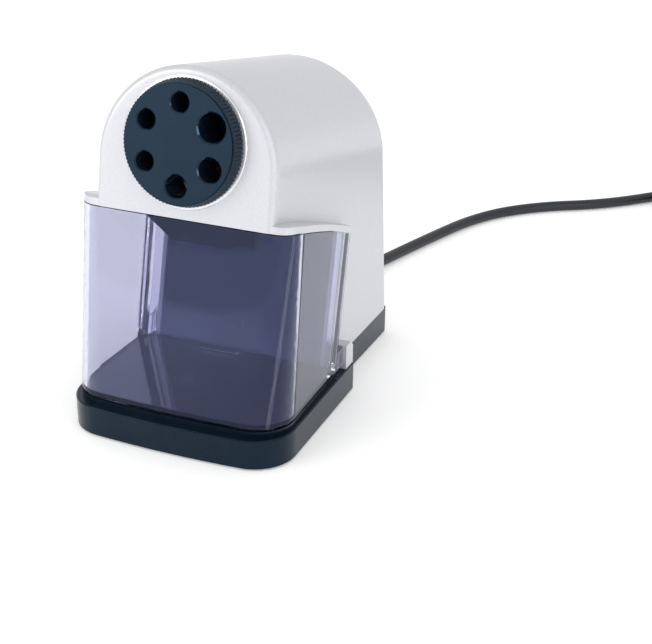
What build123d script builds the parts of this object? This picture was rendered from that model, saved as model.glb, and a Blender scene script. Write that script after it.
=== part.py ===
"""Electric pencil sharpener with a six-hole selector dial, a smoked shavings drawer and a mains lead.

Frame: +X to the user's right, +Y to the back, +Z up.  The origin is on the surface that the
sharpener stands on, under the middle of the body.  Millimetres.

The arched body leans back, and the dial, the cutter and the motor all share that lean: they are
drawn on planes parallel to the front face, at a depth measured inwards from it.
"""
import os
from math import cos, pi, radians, sin, tan

from build123d import *

# ---------------------------------------------------------------- driving dimensions
DEPTH = 156.5                 # front to back of the base
BASE_HALF = 52.9              # half width of the front tray
REAR_HALF = 45.1              # half width of the rear part of the base
RIM_Z = 14.5                  # top of the front tray's rim
SILL_Z = 14.0                 # top of the rear part, where the housing stands
PLINTH_Z = 16.8               # top of the plinth under the drawer
BASE_Z = 1.0                  # underside of the base, the feet stand lower
STEP_Y = 10.95                # where the wide front tray ends
BASE_BOW = 2.9                # the front is bowed by this much
LEAN = 9.93                   # lean of the front face, degrees
FACE_Y = -50.1                # a point on the front face, at the middle of the dial
FACE_Z = 132.6
ARCH_RADIUS = 41.5            # front arch
ARCH_CENTRE = -10.03          # its centre, below the dial's, along the face
REAR_RADIUS = 44.3            # rear arch
REAR_LEAN = 5.1               # lean of the rear face, degrees
REAR_CENTRE = 84.9            # centre of the rear arch above the sill, along the rear face
WALL = 2.4                    # moulded walls
DRAWER_WALL = 2.2
DRAWER_HALF = 51.7            # half width of the drawer
DRAWER_Z = 17.0               # underside of the drawer
LIP_Z = 101.4                 # lower edge of the housing's front face
SHADOW_GAP = 0.45             # between the drawer's top edge and the flange
DIAL_RADIUS = 25.5
DIAL_PROUD = 7.5              # the dial's face stands this far out of the housing's face
DRUM_RADIUS = 24.6            # the part of the dial that is inside the housing
DRUM_DEPTH = 9.0
HOLE_CIRCLE = 17.2            # radius of the circle that the pencil holes lie on
HOLE_RADII = {-90: 4.85, -30: 5.1, 30: 6.15, 90: 4.1, 150: 4.1, 210: 4.1}
PENCIL_PASSAGE = 6.4          # radius that the largest pencil needs
CONE_ANGLE = 11.0             # half angle of a sharpened point, degrees
TIP_DEPTH = 60.0              # depth of the pencil's point
CORD_RADIUS = 3.1

FRONT_Y = -DEPTH / 2
REAR_Y = DEPTH / 2

FACE = Plane(
    origin=(0, FACE_Y, FACE_Z),
    x_dir=(1, 0, 0),
    z_dir=(0, -cos(radians(LEAN)), sin(radians(LEAN))),
)
BACK = Plane(
    origin=(0, REAR_Y, SILL_Z),
    x_dir=(1, 0, 0),
    z_dir=(0, -cos(radians(REAR_LEAN)), -sin(radians(REAR_LEAN))),
)


def at_depth(depth, x=0.0, up=0.0):
    """Plane parallel to the front face, at a depth inside it, with its origin moved across and up."""
    return Plane(origin=FACE.from_local_coords((x, up, -depth)), x_dir=(1, 0, 0), z_dir=FACE.z_dir)


def disc(plane, radius, thickness, bore=0.0):
    """Disc or ring that starts on a plane and goes inwards from it."""
    with BuildSketch(plane) as ring:
        Circle(radius)
        if bore:
            Circle(bore, mode=Mode.SUBTRACT)
    extrude(ring.sketch, amount=-thickness)


def drill(plane, radius, thickness):
    """Round hole that starts on a plane and goes inwards from it."""
    with BuildSketch(plane) as hole:
        Circle(radius)
    extrude(hole.sketch, amount=-thickness, mode=Mode.SUBTRACT)


# ---------------------------------------------------------------- outlines that pieces share
def bowed_outline(plane, front, rear, half_front, half_rear, bow, front_radius, rear_radius):
    """Plan of the base and the drawer: bowed front, round corners, sides that may draw in."""
    with BuildSketch(plane) as outline:
        with BuildLine():
            ThreePointArc((-half_front, front + bow), (0, front), (half_front, front + bow))
            Line((half_front, front + bow), (half_rear, rear))
            Line((half_rear, rear), (-half_rear, rear))
            Line((-half_rear, rear), (-half_front, front + bow))
        make_face()
        corners = outline.vertices().group_by(Axis.Y)
        fillet(corners[0], radius=front_radius)
        fillet(outline.vertices().group_by(Axis.Y)[-1], radius=rear_radius)
    return outline.sketch


DRAWER_FRONT_Y = -74.05       # its outside at the bottom
LIP_Y = FACE_Y - (FACE_Z - LIP_Z) * tan(radians(LEAN))
DRAWER_FRONT_SLOPE = (LIP_Y - DRAWER_FRONT_Y) / (LIP_Z - DRAWER_Z)
DRAWER_REAR_SLOPE = 0.2458    # the drawer's rear wall leans back too
DRAWER_REAR_Y = 2.0           # its outside at the bottom
DRAWER_TALL = 104.5           # the drawer is drawn to here, then cut along its falling top edge
REAR_WALL_STEP = 8.0          # its rear wall stands this far in front of its rear corners


def drawer_front(z):
    """Y of the drawer's outside at the front, at a height."""
    return DRAWER_FRONT_Y + (z - DRAWER_Z) * DRAWER_FRONT_SLOPE


def drawer_rear(z):
    """Y of the drawer's outside at the rear, at a height."""
    return DRAWER_REAR_Y + (z - DRAWER_Z) * DRAWER_REAR_SLOPE


def bulkhead_y(z):
    """Y of the front of the wall behind the drawer, at a height."""
    return drawer_rear(z) - REAR_WALL_STEP + 0.9


def drawer_body(low, high, inset, rear_step=0.0, mode=Mode.ADD):
    """Leaning tub between two heights, its walls moved in by the inset and the rear one by more."""
    sections = []
    for z in (low, high):
        share = (z - DRAWER_Z) / (LIP_Z - DRAWER_Z)
        section = bowed_outline(
            Plane.XY.offset(z),
            drawer_front(z) + inset,
            drawer_rear(z) - inset - rear_step,
            DRAWER_HALF - inset,
            DRAWER_HALF - 1.2 - inset,
            2.2 - 1.6 * share,
            17.5 - 8.0 * share - inset,
            10.5 - inset,
        )
        sections.append(section)
    loft(sections, mode=mode)


def top_edge(lift):
    """Points of the drawer's falling top edge in the YZ plane, lifted by an amount."""
    front_half = [(-90.0, LIP_Z), (-50.0, LIP_Z - 0.5), (-39.0, 97.6), (-26.0, 93.4)]
    rear_half = [(-14.0, 89.2), (7.2, 80.8), (17.5, 77.0)]
    return [(y, z + lift) for y, z in front_half + rear_half]


def arch_section(plane, radius, centre, foot, spread):
    """Half round on two straight legs that spread towards the foot."""
    with BuildSketch(plane) as section:
        with BuildLine():
            Line((radius + spread, foot), (radius, centre))
            ThreePointArc((radius, centre), (0, centre + radius), (-radius, centre))
            Line((-radius, centre), (-radius - spread, foot))
            Line((-radius - spread, foot), (radius + spread, foot))
        make_face()
    return section.sketch


def body_loft(inset, mode=Mode.ADD):
    """The arched body, from the front face to the rear face, with all faces moved in by the inset."""
    front = arch_section(FACE.offset(-inset), ARCH_RADIUS - inset, ARCH_CENTRE, -126.0, 1.1)
    rear = arch_section(BACK.offset(inset), REAR_RADIUS - inset, REAR_CENTRE, -6.0, 0.8)
    loft([front, rear], mode=mode)


# ---------------------------------------------------------------- base, feet
SCREW_POSTS = ((-38.3, 26.0), (38.3, 26.0), (-38.3, 64.0), (38.3, 64.0))
FOOT_PADS = {
    "foot_front_left": (-36.0, -56.0),
    "foot_front_right": (36.0, -56.0),
    "foot_rear_left": (-30.0, 66.0),
    "foot_rear_right": (30.0, 66.0),
}
RELIEF_Z = 7.6
FLOOR_TOP = BASE_Z + WALL
PLUNGER_Z = 30.0

with BuildPart() as base_tray:
    under = Plane.XY.offset(BASE_Z)
    tray = bowed_outline(under, FRONT_Y, STEP_Y, BASE_HALF, BASE_HALF, BASE_BOW, 19.0, 1.0)
    extrude(tray, amount=RIM_Z - BASE_Z)
    chamfer(base_tray.faces().sort_by(Axis.Z)[-1].edges(), length=0.5)
    plinth = bowed_outline(Plane.XY.offset(RIM_Z - 1.0), -73.9, -5.8, 51.5, 50.6, 2.2, 17.3, 1.0)
    extrude(plinth, amount=PLINTH_Z - RIM_Z + 1.0)
    rear_plan = bowed_outline(under, 4.0, REAR_Y, 43.8, REAR_HALF, 0.2, 1.0, 3.0)
    extrude(rear_plan, amount=SILL_Z - BASE_Z)
    with BuildSketch(Plane.XY.offset(BASE_Z)):
        with Locations((0, 1.4)):
            Rectangle(81.0, 16.2)
    extrude(amount=PLINTH_Z - BASE_Z)
    # the front is hollow from below
    hollow_half = BASE_HALF - WALL
    hollow = bowed_outline(Plane.XY, FRONT_Y + WALL, 6.5, hollow_half, hollow_half, BASE_BOW, 16.6, 2.0)
    extrude(hollow, amount=RIM_Z - WALL, mode=Mode.SUBTRACT)
    # the rear is hollow from above
    with BuildSketch(Plane.XY.offset(FLOOR_TOP)):
        with Locations((0, (REAR_Y - WALL + 12.5) / 2)):
            Rectangle(2 * (REAR_HALF - WALL), REAR_Y - WALL - 12.5)
    extrude(amount=30.0, mode=Mode.SUBTRACT)
    for x, y in FOOT_PADS.values():
        if y < 0:
            with BuildSketch(Plane.XY.offset(BASE_Z)):
                with Locations((x, y)):
                    Circle(7.5)
            extrude(amount=RIM_Z - WALL - BASE_Z)
    for y in (-60.0, -36.0, -12.0):
        with BuildSketch(Plane.XY.offset(4.0)):
            with Locations((0, y)):
                Rectangle(2 * (BASE_HALF - 1.0), 1.6)
        extrude(amount=9.0)
    for x, y in SCREW_POSTS:
        with BuildSketch(Plane.XY.offset(BASE_Z)):
            with Locations((x, y)):
                Circle(4.6)
        extrude(amount=SILL_Z - BASE_Z)
    for x, y in SCREW_POSTS:
        with Locations(Plane(origin=(x, y, BASE_Z), z_dir=(0, 0, -1))):
            CounterBoreHole(radius=1.7, counter_bore_radius=3.4, counter_bore_depth=3.2)
    for x in (-26.0, 26.0):
        with BuildSketch(Plane.XY.offset(FLOOR_TOP)):
            with Locations((x, 44.0)):
                Rectangle(4.0, 34.0)
        extrude(amount=4.0)
    with BuildSketch(Plane.XZ.offset(-REAR_Y - 1.0)):
        with Locations((0, RELIEF_Z)):
            Circle(4.62)
    extrude(amount=6.0, mode=Mode.SUBTRACT)
    with BuildSketch(Plane.XY.offset(2.1)):
        with Locations((0, REAR_Y - WALL - 1.6)):
            Rectangle(12.4, 3.2)
    extrude(amount=3.0, mode=Mode.SUBTRACT)
base_tray.part.label = "base_tray"

feet = {}
for name, (x, y) in FOOT_PADS.items():
    with BuildPart() as foot:
        with BuildSketch(Plane.XY):
            with Locations((x, y)):
                Circle(6.0)
        extrude(amount=BASE_Z)
        chamfer(foot.faces().sort_by(Axis.Z)[0].edges(), length=0.4)
    foot.part.label = name
    feet[name] = foot

# ---------------------------------------------------------------- housing
BAY = [
    *top_edge(0.0)[:-1],
    (bulkhead_y(79.6), 79.6),
    (bulkhead_y(DRAWER_Z), DRAWER_Z),
    (bulkhead_y(DRAWER_Z), RIM_Z),
    (STEP_Y + 0.1, RIM_Z),
    (STEP_Y + 0.1, -5.0),
    (-90.0, -5.0),
]
FLANGE = [*top_edge(0.0), (19.5, 77.5), *reversed(top_edge(3.0))]
FRAME_BOSSES = ((-32.0, -24.0), (32.0, -24.0), (-29.5, 6.0), (29.5, 6.0))
PLATE_FRONT = 15.0            # depth of the mechanism's front plate
PLATE = 3.0

with BuildPart() as flange_band:
    with BuildSketch(Plane.YZ):
        Polygon(*FLANGE)
    extrude(amount=60, both=True)

with BuildPart() as bay_space:
    with BuildSketch(Plane.YZ):
        Polygon(*BAY)
    extrude(amount=60, both=True)

with BuildPart() as shoulder_flange:
    drawer_body(70.0, DRAWER_TALL + 4.0, 0.0)
    add(flange_band.part, mode=Mode.INTERSECT)
    split(bisect_by=FACE, keep=Keep.BOTTOM)

with BuildPart() as housing_shell:
    body_loft(0.0)
    split(bisect_by=Plane.XY.offset(SILL_Z), keep=Keep.TOP)
    front_edges = housing_shell.faces().sort_by(Axis((0, 0, 0), FACE.z_dir))[-1].edges()
    fillet(front_edges.sort_by(Axis.Z)[1:], radius=3.0)
    rear_edges = housing_shell.faces().sort_by(Axis.Y)[-1].edges()
    fillet(rear_edges.sort_by(Axis.Z)[1:], radius=5.0)
    add(shoulder_flange.part)
    body_loft(WALL, mode=Mode.SUBTRACT)
    add(bay_space.part, mode=Mode.SUBTRACT)
    # small blocks that stand on the rear ends of the wide tray
    for side in (-1, 1):
        with BuildSketch(Plane.XY.offset(RIM_Z)):
            with Locations((side * 49.65, 6.4)):
                Rectangle(5.3, 8.6)
            with Locations((side * 45.4, 7.8)):
                Rectangle(3.4, 5.8)
        extrude(amount=12.0)
    block_edges = housing_shell.edges().filter_by(Axis.X).filter_by_position(Axis.Z, 26.0, 27.0)
    chamfer(block_edges.sort_by(Axis.Y)[-2:], length=3.0)
    for x, y in SCREW_POSTS:
        with BuildSketch(Plane.XY.offset(SILL_Z)):
            with Locations((x, y)):
                Circle(4.6)
        extrude(amount=22.0)
        with BuildSketch(Plane.XY.offset(SILL_Z)):
            with Locations((x, y)):
                Circle(1.55)
        extrude(amount=16.0, mode=Mode.SUBTRACT)
    for x, up in FRAME_BOSSES:
        disc(at_depth(1.5, x, up), 3.4, PLATE_FRONT - 1.5)
        drill(at_depth(5.0, x, up), 1.35, 20.0)
    drill(at_depth(-5.0), DRUM_RADIUS + 0.4, 9.0)
housing_shell.part.label = "housing_shell"

with BuildPart() as dial_bezel:
    disc(at_depth(-0.9), 27.9, 0.9, 25.0)
    chamfer(dial_bezel.faces().sort_by(Axis((0, 0, 0), FACE.z_dir))[-1].edges(), length=0.35)
dial_bezel.part.label = "dial_bezel"

# ---------------------------------------------------------------- wall behind the drawer
BULKHEAD_TOP = 79.0

with BuildPart() as bulkhead:
    with BuildSketch(Plane.YZ):
        Polygon(
            (bulkhead_y(PLINTH_Z), PLINTH_Z),
            (bulkhead_y(BULKHEAD_TOP), BULKHEAD_TOP),
            (36.0, BULKHEAD_TOP),
            (36.0, BULKHEAD_TOP - WALL),
            (bulkhead_y(BULKHEAD_TOP) + WALL, BULKHEAD_TOP - WALL),
            (bulkhead_y(PLINTH_Z) + WALL, PLINTH_Z),
        )
    extrude(amount=40.3, both=True)
    with BuildSketch(Plane.XZ.offset(-40.0)):
        with Locations((0, PLUNGER_Z)):
            Circle(2.6)
    extrude(amount=60.0, mode=Mode.SUBTRACT)
bulkhead.part.label = "bulkhead"

# ---------------------------------------------------------------- drawer
TAB_Z = 26.0
RECESS_HALF = 44.4            # half the opening between the drawer's rear corners

with BuildPart() as drawer_trim:
    with BuildSketch(Plane.YZ):
        Polygon(*top_edge(-SHADOW_GAP), (60.0, 77.0 - SHADOW_GAP), (60.0, 0.0), (-90.0, 0.0))
    extrude(amount=60, both=True)

# space behind the drawer's rear wall, for the wall of the machine; the drawer's corners reach round it
rear_wall_plane = Plane(
    origin=(0, DRAWER_REAR_Y - REAR_WALL_STEP, DRAWER_Z), x_dir=(1, 0, 0), z_dir=(0, 1, -DRAWER_REAR_SLOPE)
)
with BuildPart() as rear_recess:
    drawer_body(DRAWER_Z - 1.0, DRAWER_TALL + 1.0, DRAWER_WALL)
    with BuildSketch(Plane.XY.offset(DRAWER_Z - 1.0)):
        with Locations((0, 20.0)):
            Rectangle(2 * RECESS_HALF, 100.0)
    extrude(amount=DRAWER_TALL)
    split(bisect_by=rear_wall_plane, keep=Keep.TOP)

with BuildPart() as shavings_drawer:
    drawer_body(DRAWER_Z, DRAWER_TALL, 0.0)
    fillet(shavings_drawer.faces().sort_by(Axis.Z)[0].edges(), radius=1.2)
    drawer_body(DRAWER_Z + DRAWER_WALL, DRAWER_TALL + 1.0, DRAWER_WALL, REAR_WALL_STEP, Mode.SUBTRACT)
    add(rear_recess.part, mode=Mode.SUBTRACT)
    add(drawer_trim.part, mode=Mode.INTERSECT)
    # tongues at the rear of both sides, which run beside the small blocks
    for side in (-1, 1):
        with BuildSketch(Plane.YZ.offset(side * 49.8)) as tongue:
            with Locations((-4.6, (DRAWER_Z + TAB_Z) / 2)):
                Rectangle(12.4, TAB_Z - DRAWER_Z)
            rear_top = tongue.vertices().group_by(Axis.Y)[-1].sort_by(Axis.Z)[-1]
            fillet(rear_top, radius=3.0)
        extrude(amount=0.9, both=True)
    # raised oval and round marks on the floor
    with BuildSketch(Plane.XY.offset(DRAWER_Z + DRAWER_WALL)):
        with Locations((-8.0, -10.0)):
            SlotOverall(24.0, 8.0)
            SlotOverall(21.6, 5.6, mode=Mode.SUBTRACT)
        with Locations((-6.4, -43.0)):
            Circle(3.4)
            Circle(2.4, mode=Mode.SUBTRACT)
    extrude(amount=0.5)
shavings_drawer.part.label = "shavings_drawer"

# ---------------------------------------------------------------- dial
KNURLS = 96
KNOB_BACK = 1.2               # gap in front of the bezel


def knurled_wheel(plane, radius, tooth):
    """Wheel outline with a fine tooth for each knurl."""
    with BuildSketch(plane) as wheel:
        points = []
        for index in range(2 * KNURLS):
            angle = pi * index / KNURLS
            reach = radius + (tooth if index % 2 else 0.0)
            points.append((reach * cos(angle), reach * sin(angle)))
        Polygon(*points)
    return wheel.sketch


with BuildPart() as selector_dial:
    rim_front = knurled_wheel(at_depth(-DIAL_PROUD + 0.7), DIAL_RADIUS - 0.55, 0.45)
    rim_back = knurled_wheel(at_depth(-KNOB_BACK), DIAL_RADIUS + 0.5, 0.75)
    loft([rim_front, rim_back], ruled=True)
    disc(at_depth(-DIAL_PROUD), DIAL_RADIUS - 0.9, DIAL_PROUD - KNOB_BACK)
    disc(at_depth(-KNOB_BACK - 0.5), DRUM_RADIUS, KNOB_BACK + 0.5 + DRUM_DEPTH)
    for angle, radius in HOLE_RADII.items():
        x = HOLE_CIRCLE * cos(radians(angle))
        up = HOLE_CIRCLE * sin(radians(angle))
        with Locations(at_depth(-DIAL_PROUD, x, up)):
            Hole(radius=radius)
    mouths = selector_dial.faces().sort_by(Axis((0, 0, 0), FACE.z_dir))[-1].edges()
    chamfer(mouths.sort_by(SortBy.RADIUS)[:-1], length=0.6)
    drill(at_depth(4.0), 3.05, 10.0)
selector_dial.part.label = "selector_dial"

with BuildPart() as dial_spindle:
    disc(at_depth(4.4), 3.0, PLATE_FRONT + PLATE - 4.4)
    disc(at_depth(DRUM_DEPTH + 0.3), 5.5, PLATE_FRONT - DRUM_DEPTH - 0.3)
dial_spindle.part.label = "dial_spindle"

# ---------------------------------------------------------------- mechanism frame
AXIS_UP = -HOLE_CIRCLE        # the cutter turns about the lowest hole's axis
GEAR_PLATE = 77.0             # depth of the gear plate
PILLARS = {
    "frame_pillar_left": (-29.5, AXIS_UP),
    "frame_pillar_right": (29.5, AXIS_UP),
    "frame_pillar_top": (-14.0, 13.0),
}
CARRIER_MODULE = 0.8
CARRIER_TEETH = 48
IDLER_SMALL_TEETH = 12
MOTOR_MODULE = 0.7
IDLER_LARGE_TEETH = 40
MOTOR_TEETH = 10
RING_TEETH = 42
PINION_TEETH = 12
IDLER_BEARING = 60.0          # direction from the cutter's axis to the idler, degrees
MOTOR_BEARING = 226.6         # direction from the idler to the motor
JOURNAL = 9.4                 # carrier's front journal
REAR_JOURNAL = 3.0

idler_reach = CARRIER_MODULE * (CARRIER_TEETH + IDLER_SMALL_TEETH) / 2
IDLER_X = idler_reach * cos(radians(IDLER_BEARING))
IDLER_UP = AXIS_UP + idler_reach * sin(radians(IDLER_BEARING))
motor_reach = MOTOR_MODULE * (IDLER_LARGE_TEETH + MOTOR_TEETH) / 2
MOTOR_X = IDLER_X + motor_reach * cos(radians(MOTOR_BEARING))
MOTOR_UP = IDLER_UP + motor_reach * sin(radians(MOTOR_BEARING))


def tooth_row(reach, teeth, height, base, tip, first, inward=False):
    """Straight-sided teeth round a circle; height counts outwards, or inwards on a ring gear."""
    way = -1.0 if inward else 1.0
    with PolarLocations(reach, teeth, start_angle=first):
        foot, head = -0.3 * way, height * way
        Polygon((foot, -base / 2), (head, -tip / 2), (head, tip / 2), (foot, base / 2))


def spur_gear(plane, teeth, module, first, thickness, bore):
    """Spur gear with one tooth at the first angle."""
    root = module * (teeth / 2 - 1.2)
    with BuildSketch(plane) as gear:
        Circle(root)
        tooth_row(root, teeth, 2.1 * module, 1.5 * module, 0.62 * module, first)
        Circle(bore, mode=Mode.SUBTRACT)
    extrude(gear.sketch, amount=-thickness)


with BuildPart() as front_plate:
    with BuildSketch(at_depth(PLATE_FRONT)):
        with Locations((0, -11.0)):
            Circle(37.6)
        with Locations((0, -70.0)):
            Rectangle(100.0, 50.0, mode=Mode.SUBTRACT)
        Polygon((-42.0, -24.0), (-10.0, -46.0), (-42.0, -46.0), mode=Mode.SUBTRACT)
        with Locations((0, AXIS_UP)):
            Circle(11.02, mode=Mode.SUBTRACT)
        Circle(3.02, mode=Mode.SUBTRACT)
        with Locations(*FRAME_BOSSES):
            Circle(1.6, mode=Mode.SUBTRACT)
    extrude(amount=-PLATE)
front_plate.part.label = "front_plate"

with BuildPart() as gear_plate:
    with BuildSketch(at_depth(GEAR_PLATE)):
        with Locations((0, -11.5)):
            Circle(36.5)
        with Locations((0, -65.2)):
            Rectangle(100.0, 50.0, mode=Mode.SUBTRACT)
        with Locations((0, AXIS_UP)):
            Circle(4.62, mode=Mode.SUBTRACT)
        with Locations((IDLER_X, IDLER_UP)):
            Circle(1.52, mode=Mode.SUBTRACT)
        with Locations((MOTOR_X, MOTOR_UP)):
            Circle(2.2, mode=Mode.SUBTRACT)
        with Locations((MOTOR_X - 13.0, MOTOR_UP), (MOTOR_X + 13.0, MOTOR_UP)):
            Circle(1.3, mode=Mode.SUBTRACT)
    extrude(amount=-PLATE)
gear_plate.part.label = "gear_plate"

pillars = {}
for name, (x, up) in PILLARS.items():
    with BuildPart() as pillar:
        disc(at_depth(PLATE_FRONT + PLATE, x, up), 2.5, GEAR_PLATE - PLATE_FRONT - PLATE)
    pillar.part.label = name
    pillars[name] = pillar

with BuildPart() as front_bush:
    disc(at_depth(PLATE_FRONT, 0, AXIS_UP), 11.0, PLATE, JOURNAL + 0.06)
front_bush.part.label = "front_bush"

with BuildPart() as rear_bush:
    disc(at_depth(GEAR_PLATE, 0, AXIS_UP), 4.6, PLATE, REAR_JOURNAL + 0.05)
rear_bush.part.label = "rear_bush"

RING_FRONT = PLATE_FRONT + PLATE + 0.2
with BuildPart() as ring_gear:
    ring_root = RING_TEETH / 2 + 1.35
    with BuildSketch(at_depth(RING_FRONT, 0, AXIS_UP)):
        Circle(25.4)
        Circle(ring_root, mode=Mode.SUBTRACT)
        tooth_row(ring_root, RING_TEETH, 2.1, 1.5, 0.6, 90.0 + 180.0 / RING_TEETH, inward=True)
    extrude(amount=-7.0)
ring_gear.part.label = "ring_gear"

# ---------------------------------------------------------------- cutter, leaning to the pencil's axis
CUTTER_RADIUS = 7.5
CUTTER_SHAFT = 2.0
PINION_DEPTH = 22.1
CUTTER_FRONT = 28.8
CUTTER_REAR = 60.6


def cutter_offset(depth):
    """Distance from the pencil's axis to the cutter's, which closes in towards the point."""
    return (TIP_DEPTH - depth) * tan(radians(CONE_ANGLE)) + CUTTER_RADIUS / cos(radians(CONE_ANGLE))


def cutter_plane(depth):
    """Plane square to the cutter's axis where that axis reaches a depth."""
    centre = FACE.from_local_coords((0, AXIS_UP + cutter_offset(depth), -depth))
    lean = Vector(FACE.z_dir) * cos(radians(CONE_ANGLE)) + Vector(FACE.y_dir) * sin(radians(CONE_ANGLE))
    return Plane(origin=centre, x_dir=(1, 0, 0), z_dir=lean)


FLUTES = 11
CUTTER_TWIST = 75.0
cutter_length = (CUTTER_REAR - CUTTER_FRONT) / cos(radians(CONE_ANGLE))

with BuildSketch(Plane.XY) as cutter_section:
    Circle(CUTTER_RADIUS - 1.5)
    with PolarLocations(CUTTER_RADIUS - 1.5, FLUTES):
        Polygon((-0.4, -1.3), (1.45, -0.35), (1.45, 0.25), (-0.4, 1.5))

twisted_bar = Solid.extrude_linear_with_rotation(
    cutter_section.sketch.faces()[0].outer_wire(), (0, 0, 0), (0, 0, cutter_length), CUTTER_TWIST
)

with BuildPart() as helical_cutter:
    add(cutter_plane(CUTTER_REAR).location * twisted_bar)
    with BuildSketch(cutter_plane(CUTTER_FRONT - 1.0)):
        Circle(CUTTER_SHAFT + 0.02)
    extrude(amount=-cutter_length - 4.0, mode=Mode.SUBTRACT)
helical_cutter.part.label = "helical_cutter"

with BuildPart() as cutter_shaft:
    disc(cutter_plane(PINION_DEPTH - 2.2), CUTTER_SHAFT, 45.4)
cutter_shaft.part.label = "cutter_shaft"

with BuildPart() as cutter_pinion:
    spur_gear(cutter_plane(PINION_DEPTH - 2.0), PINION_TEETH, 1.0, 90.0, 4.0, CUTTER_SHAFT + 0.02)
cutter_pinion.part.label = "cutter_pinion"

# ---------------------------------------------------------------- carrier
CARRIER_REAR = 66.0
with BuildPart() as cutter_carrier:
    disc(at_depth(PLATE_FRONT + 0.1, 0, AXIS_UP), JOURNAL, 4.0)
    disc(at_depth(RING_FRONT, 0, AXIS_UP), 11.4, 8.0)
    disc(at_depth(25.6, 0, AXIS_UP), 17.0, CARRIER_REAR - 25.6)
    disc(at_depth(CARRIER_REAR, 0, AXIS_UP), 5.0, 5.3)
    drill(at_depth(PLATE_FRONT, 0, AXIS_UP), PENCIL_PASSAGE, TIP_DEPTH - 31.0 - PLATE_FRONT + 3.0)
    with BuildSketch(at_depth(30.0, 0, AXIS_UP)):
        Circle(PENCIL_PASSAGE)
    with BuildSketch(at_depth(TIP_DEPTH, 0, AXIS_UP)):
        Circle(1.2)
    loft(mode=Mode.SUBTRACT)
    drill(cutter_plane(PINION_DEPTH - 4.5), 7.7, 7.0)
    drill(cutter_plane(CUTTER_FRONT - 0.5), CUTTER_RADIUS + 0.6, cutter_length + 1.0)
    drill(cutter_plane(PINION_DEPTH), CUTTER_SHAFT + 0.05, 44.4)
    with BuildSketch(at_depth(CUTTER_FRONT - 0.5, 0, AXIS_UP)):
        with Locations((0, 12.5)):
            Rectangle(2 * CUTTER_RADIUS + 1.2, 25.0)
    extrude(amount=-(CUTTER_REAR - CUTTER_FRONT + 1.0), mode=Mode.SUBTRACT)
    with BuildSketch(at_depth(34.0, 0, AXIS_UP)):
        Rectangle(40.0, 9.0)
    extrude(amount=-24.0, mode=Mode.SUBTRACT)
cutter_carrier.part.label = "cutter_carrier"

with BuildPart() as carrier_gear:
    spur_gear(at_depth(CARRIER_REAR + 0.1, 0, AXIS_UP), CARRIER_TEETH, CARRIER_MODULE, 0.0, 5.0, 5.02)
    with BuildSketch(at_depth(CARRIER_REAR + 0.1, 0, AXIS_UP)):
        with PolarLocations(12.0, 6):
            Circle(3.2)
    extrude(amount=-5.0, mode=Mode.SUBTRACT)
carrier_gear.part.label = "carrier_gear"

with BuildPart() as carrier_journal:
    journal_start = CARRIER_REAR + 5.3
    disc(at_depth(journal_start, 0, AXIS_UP), REAR_JOURNAL, GEAR_PLATE + PLATE - 0.3 - journal_start)
carrier_journal.part.label = "carrier_journal"

# ---------------------------------------------------------------- idler
with BuildPart() as idler_gear:
    first_small = IDLER_BEARING + 180.0 + 180.0 / IDLER_SMALL_TEETH
    small_plane = at_depth(CARRIER_REAR + 0.3, IDLER_X, IDLER_UP)
    large_plane = at_depth(CARRIER_REAR + 5.4, IDLER_X, IDLER_UP)
    spur_gear(small_plane, IDLER_SMALL_TEETH, CARRIER_MODULE, first_small, 5.1, 1.56)
    spur_gear(large_plane, IDLER_LARGE_TEETH, MOTOR_MODULE, MOTOR_BEARING, 3.2, 1.56)
idler_gear.part.label = "idler_gear"

with BuildPart() as idler_axle:
    disc(at_depth(CARRIER_REAR - 0.5, IDLER_X, IDLER_UP), 1.5, GEAR_PLATE + PLATE - CARRIER_REAR + 0.5)
idler_axle.part.label = "idler_axle"

# ---------------------------------------------------------------- motor
MOTOR_FRONT = GEAR_PLATE + PLATE
MOTOR_LENGTH = 27.0
MOTOR_RADIUS = 20.5
CAN_WALL = 1.2
MOTOR_SHAFT = 1.5
CORE = 22.0

with BuildPart() as motor_can:
    disc(at_depth(MOTOR_FRONT, MOTOR_X, MOTOR_UP), MOTOR_RADIUS, MOTOR_LENGTH)
    drill(at_depth(MOTOR_FRONT + CAN_WALL, MOTOR_X, MOTOR_UP), MOTOR_RADIUS - CAN_WALL, MOTOR_LENGTH)
    drill(at_depth(MOTOR_FRONT, MOTOR_X, MOTOR_UP), 2.2, CAN_WALL)
    for x in (MOTOR_X - 13.0, MOTOR_X + 13.0):
        drill(at_depth(MOTOR_FRONT, x, MOTOR_UP), 1.05, CAN_WALL)
motor_can.part.label = "motor_can"

with BuildPart() as motor_stator:
    disc(at_depth(MOTOR_FRONT + 4.5, MOTOR_X, MOTOR_UP), MOTOR_RADIUS - CAN_WALL - 0.05, CORE - 3.0, 12.4)
motor_stator.part.label = "motor_stator"

with BuildPart() as motor_end_cap:
    disc(at_depth(MOTOR_FRONT + MOTOR_LENGTH, MOTOR_X, MOTOR_UP), MOTOR_RADIUS, 2.0, MOTOR_SHAFT + 0.05)
    cap_end = motor_end_cap.faces().sort_by(Axis((0, 0, 0), FACE.z_dir))[0]
    chamfer(cap_end.edges().sort_by(SortBy.RADIUS)[-1], length=0.8)
motor_end_cap.part.label = "motor_end_cap"

with BuildPart() as motor_rotor:
    with BuildSketch(at_depth(MOTOR_FRONT + 5.5, MOTOR_X, MOTOR_UP)):
        Circle(11.8)
        Circle(MOTOR_SHAFT + 0.02, mode=Mode.SUBTRACT)
        with PolarLocations(10.6, 9):
            SlotOverall(3.6, 1.6, rotation=0, mode=Mode.SUBTRACT)
    extrude(amount=-(CORE - 5.0))
motor_rotor.part.label = "motor_rotor"

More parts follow.
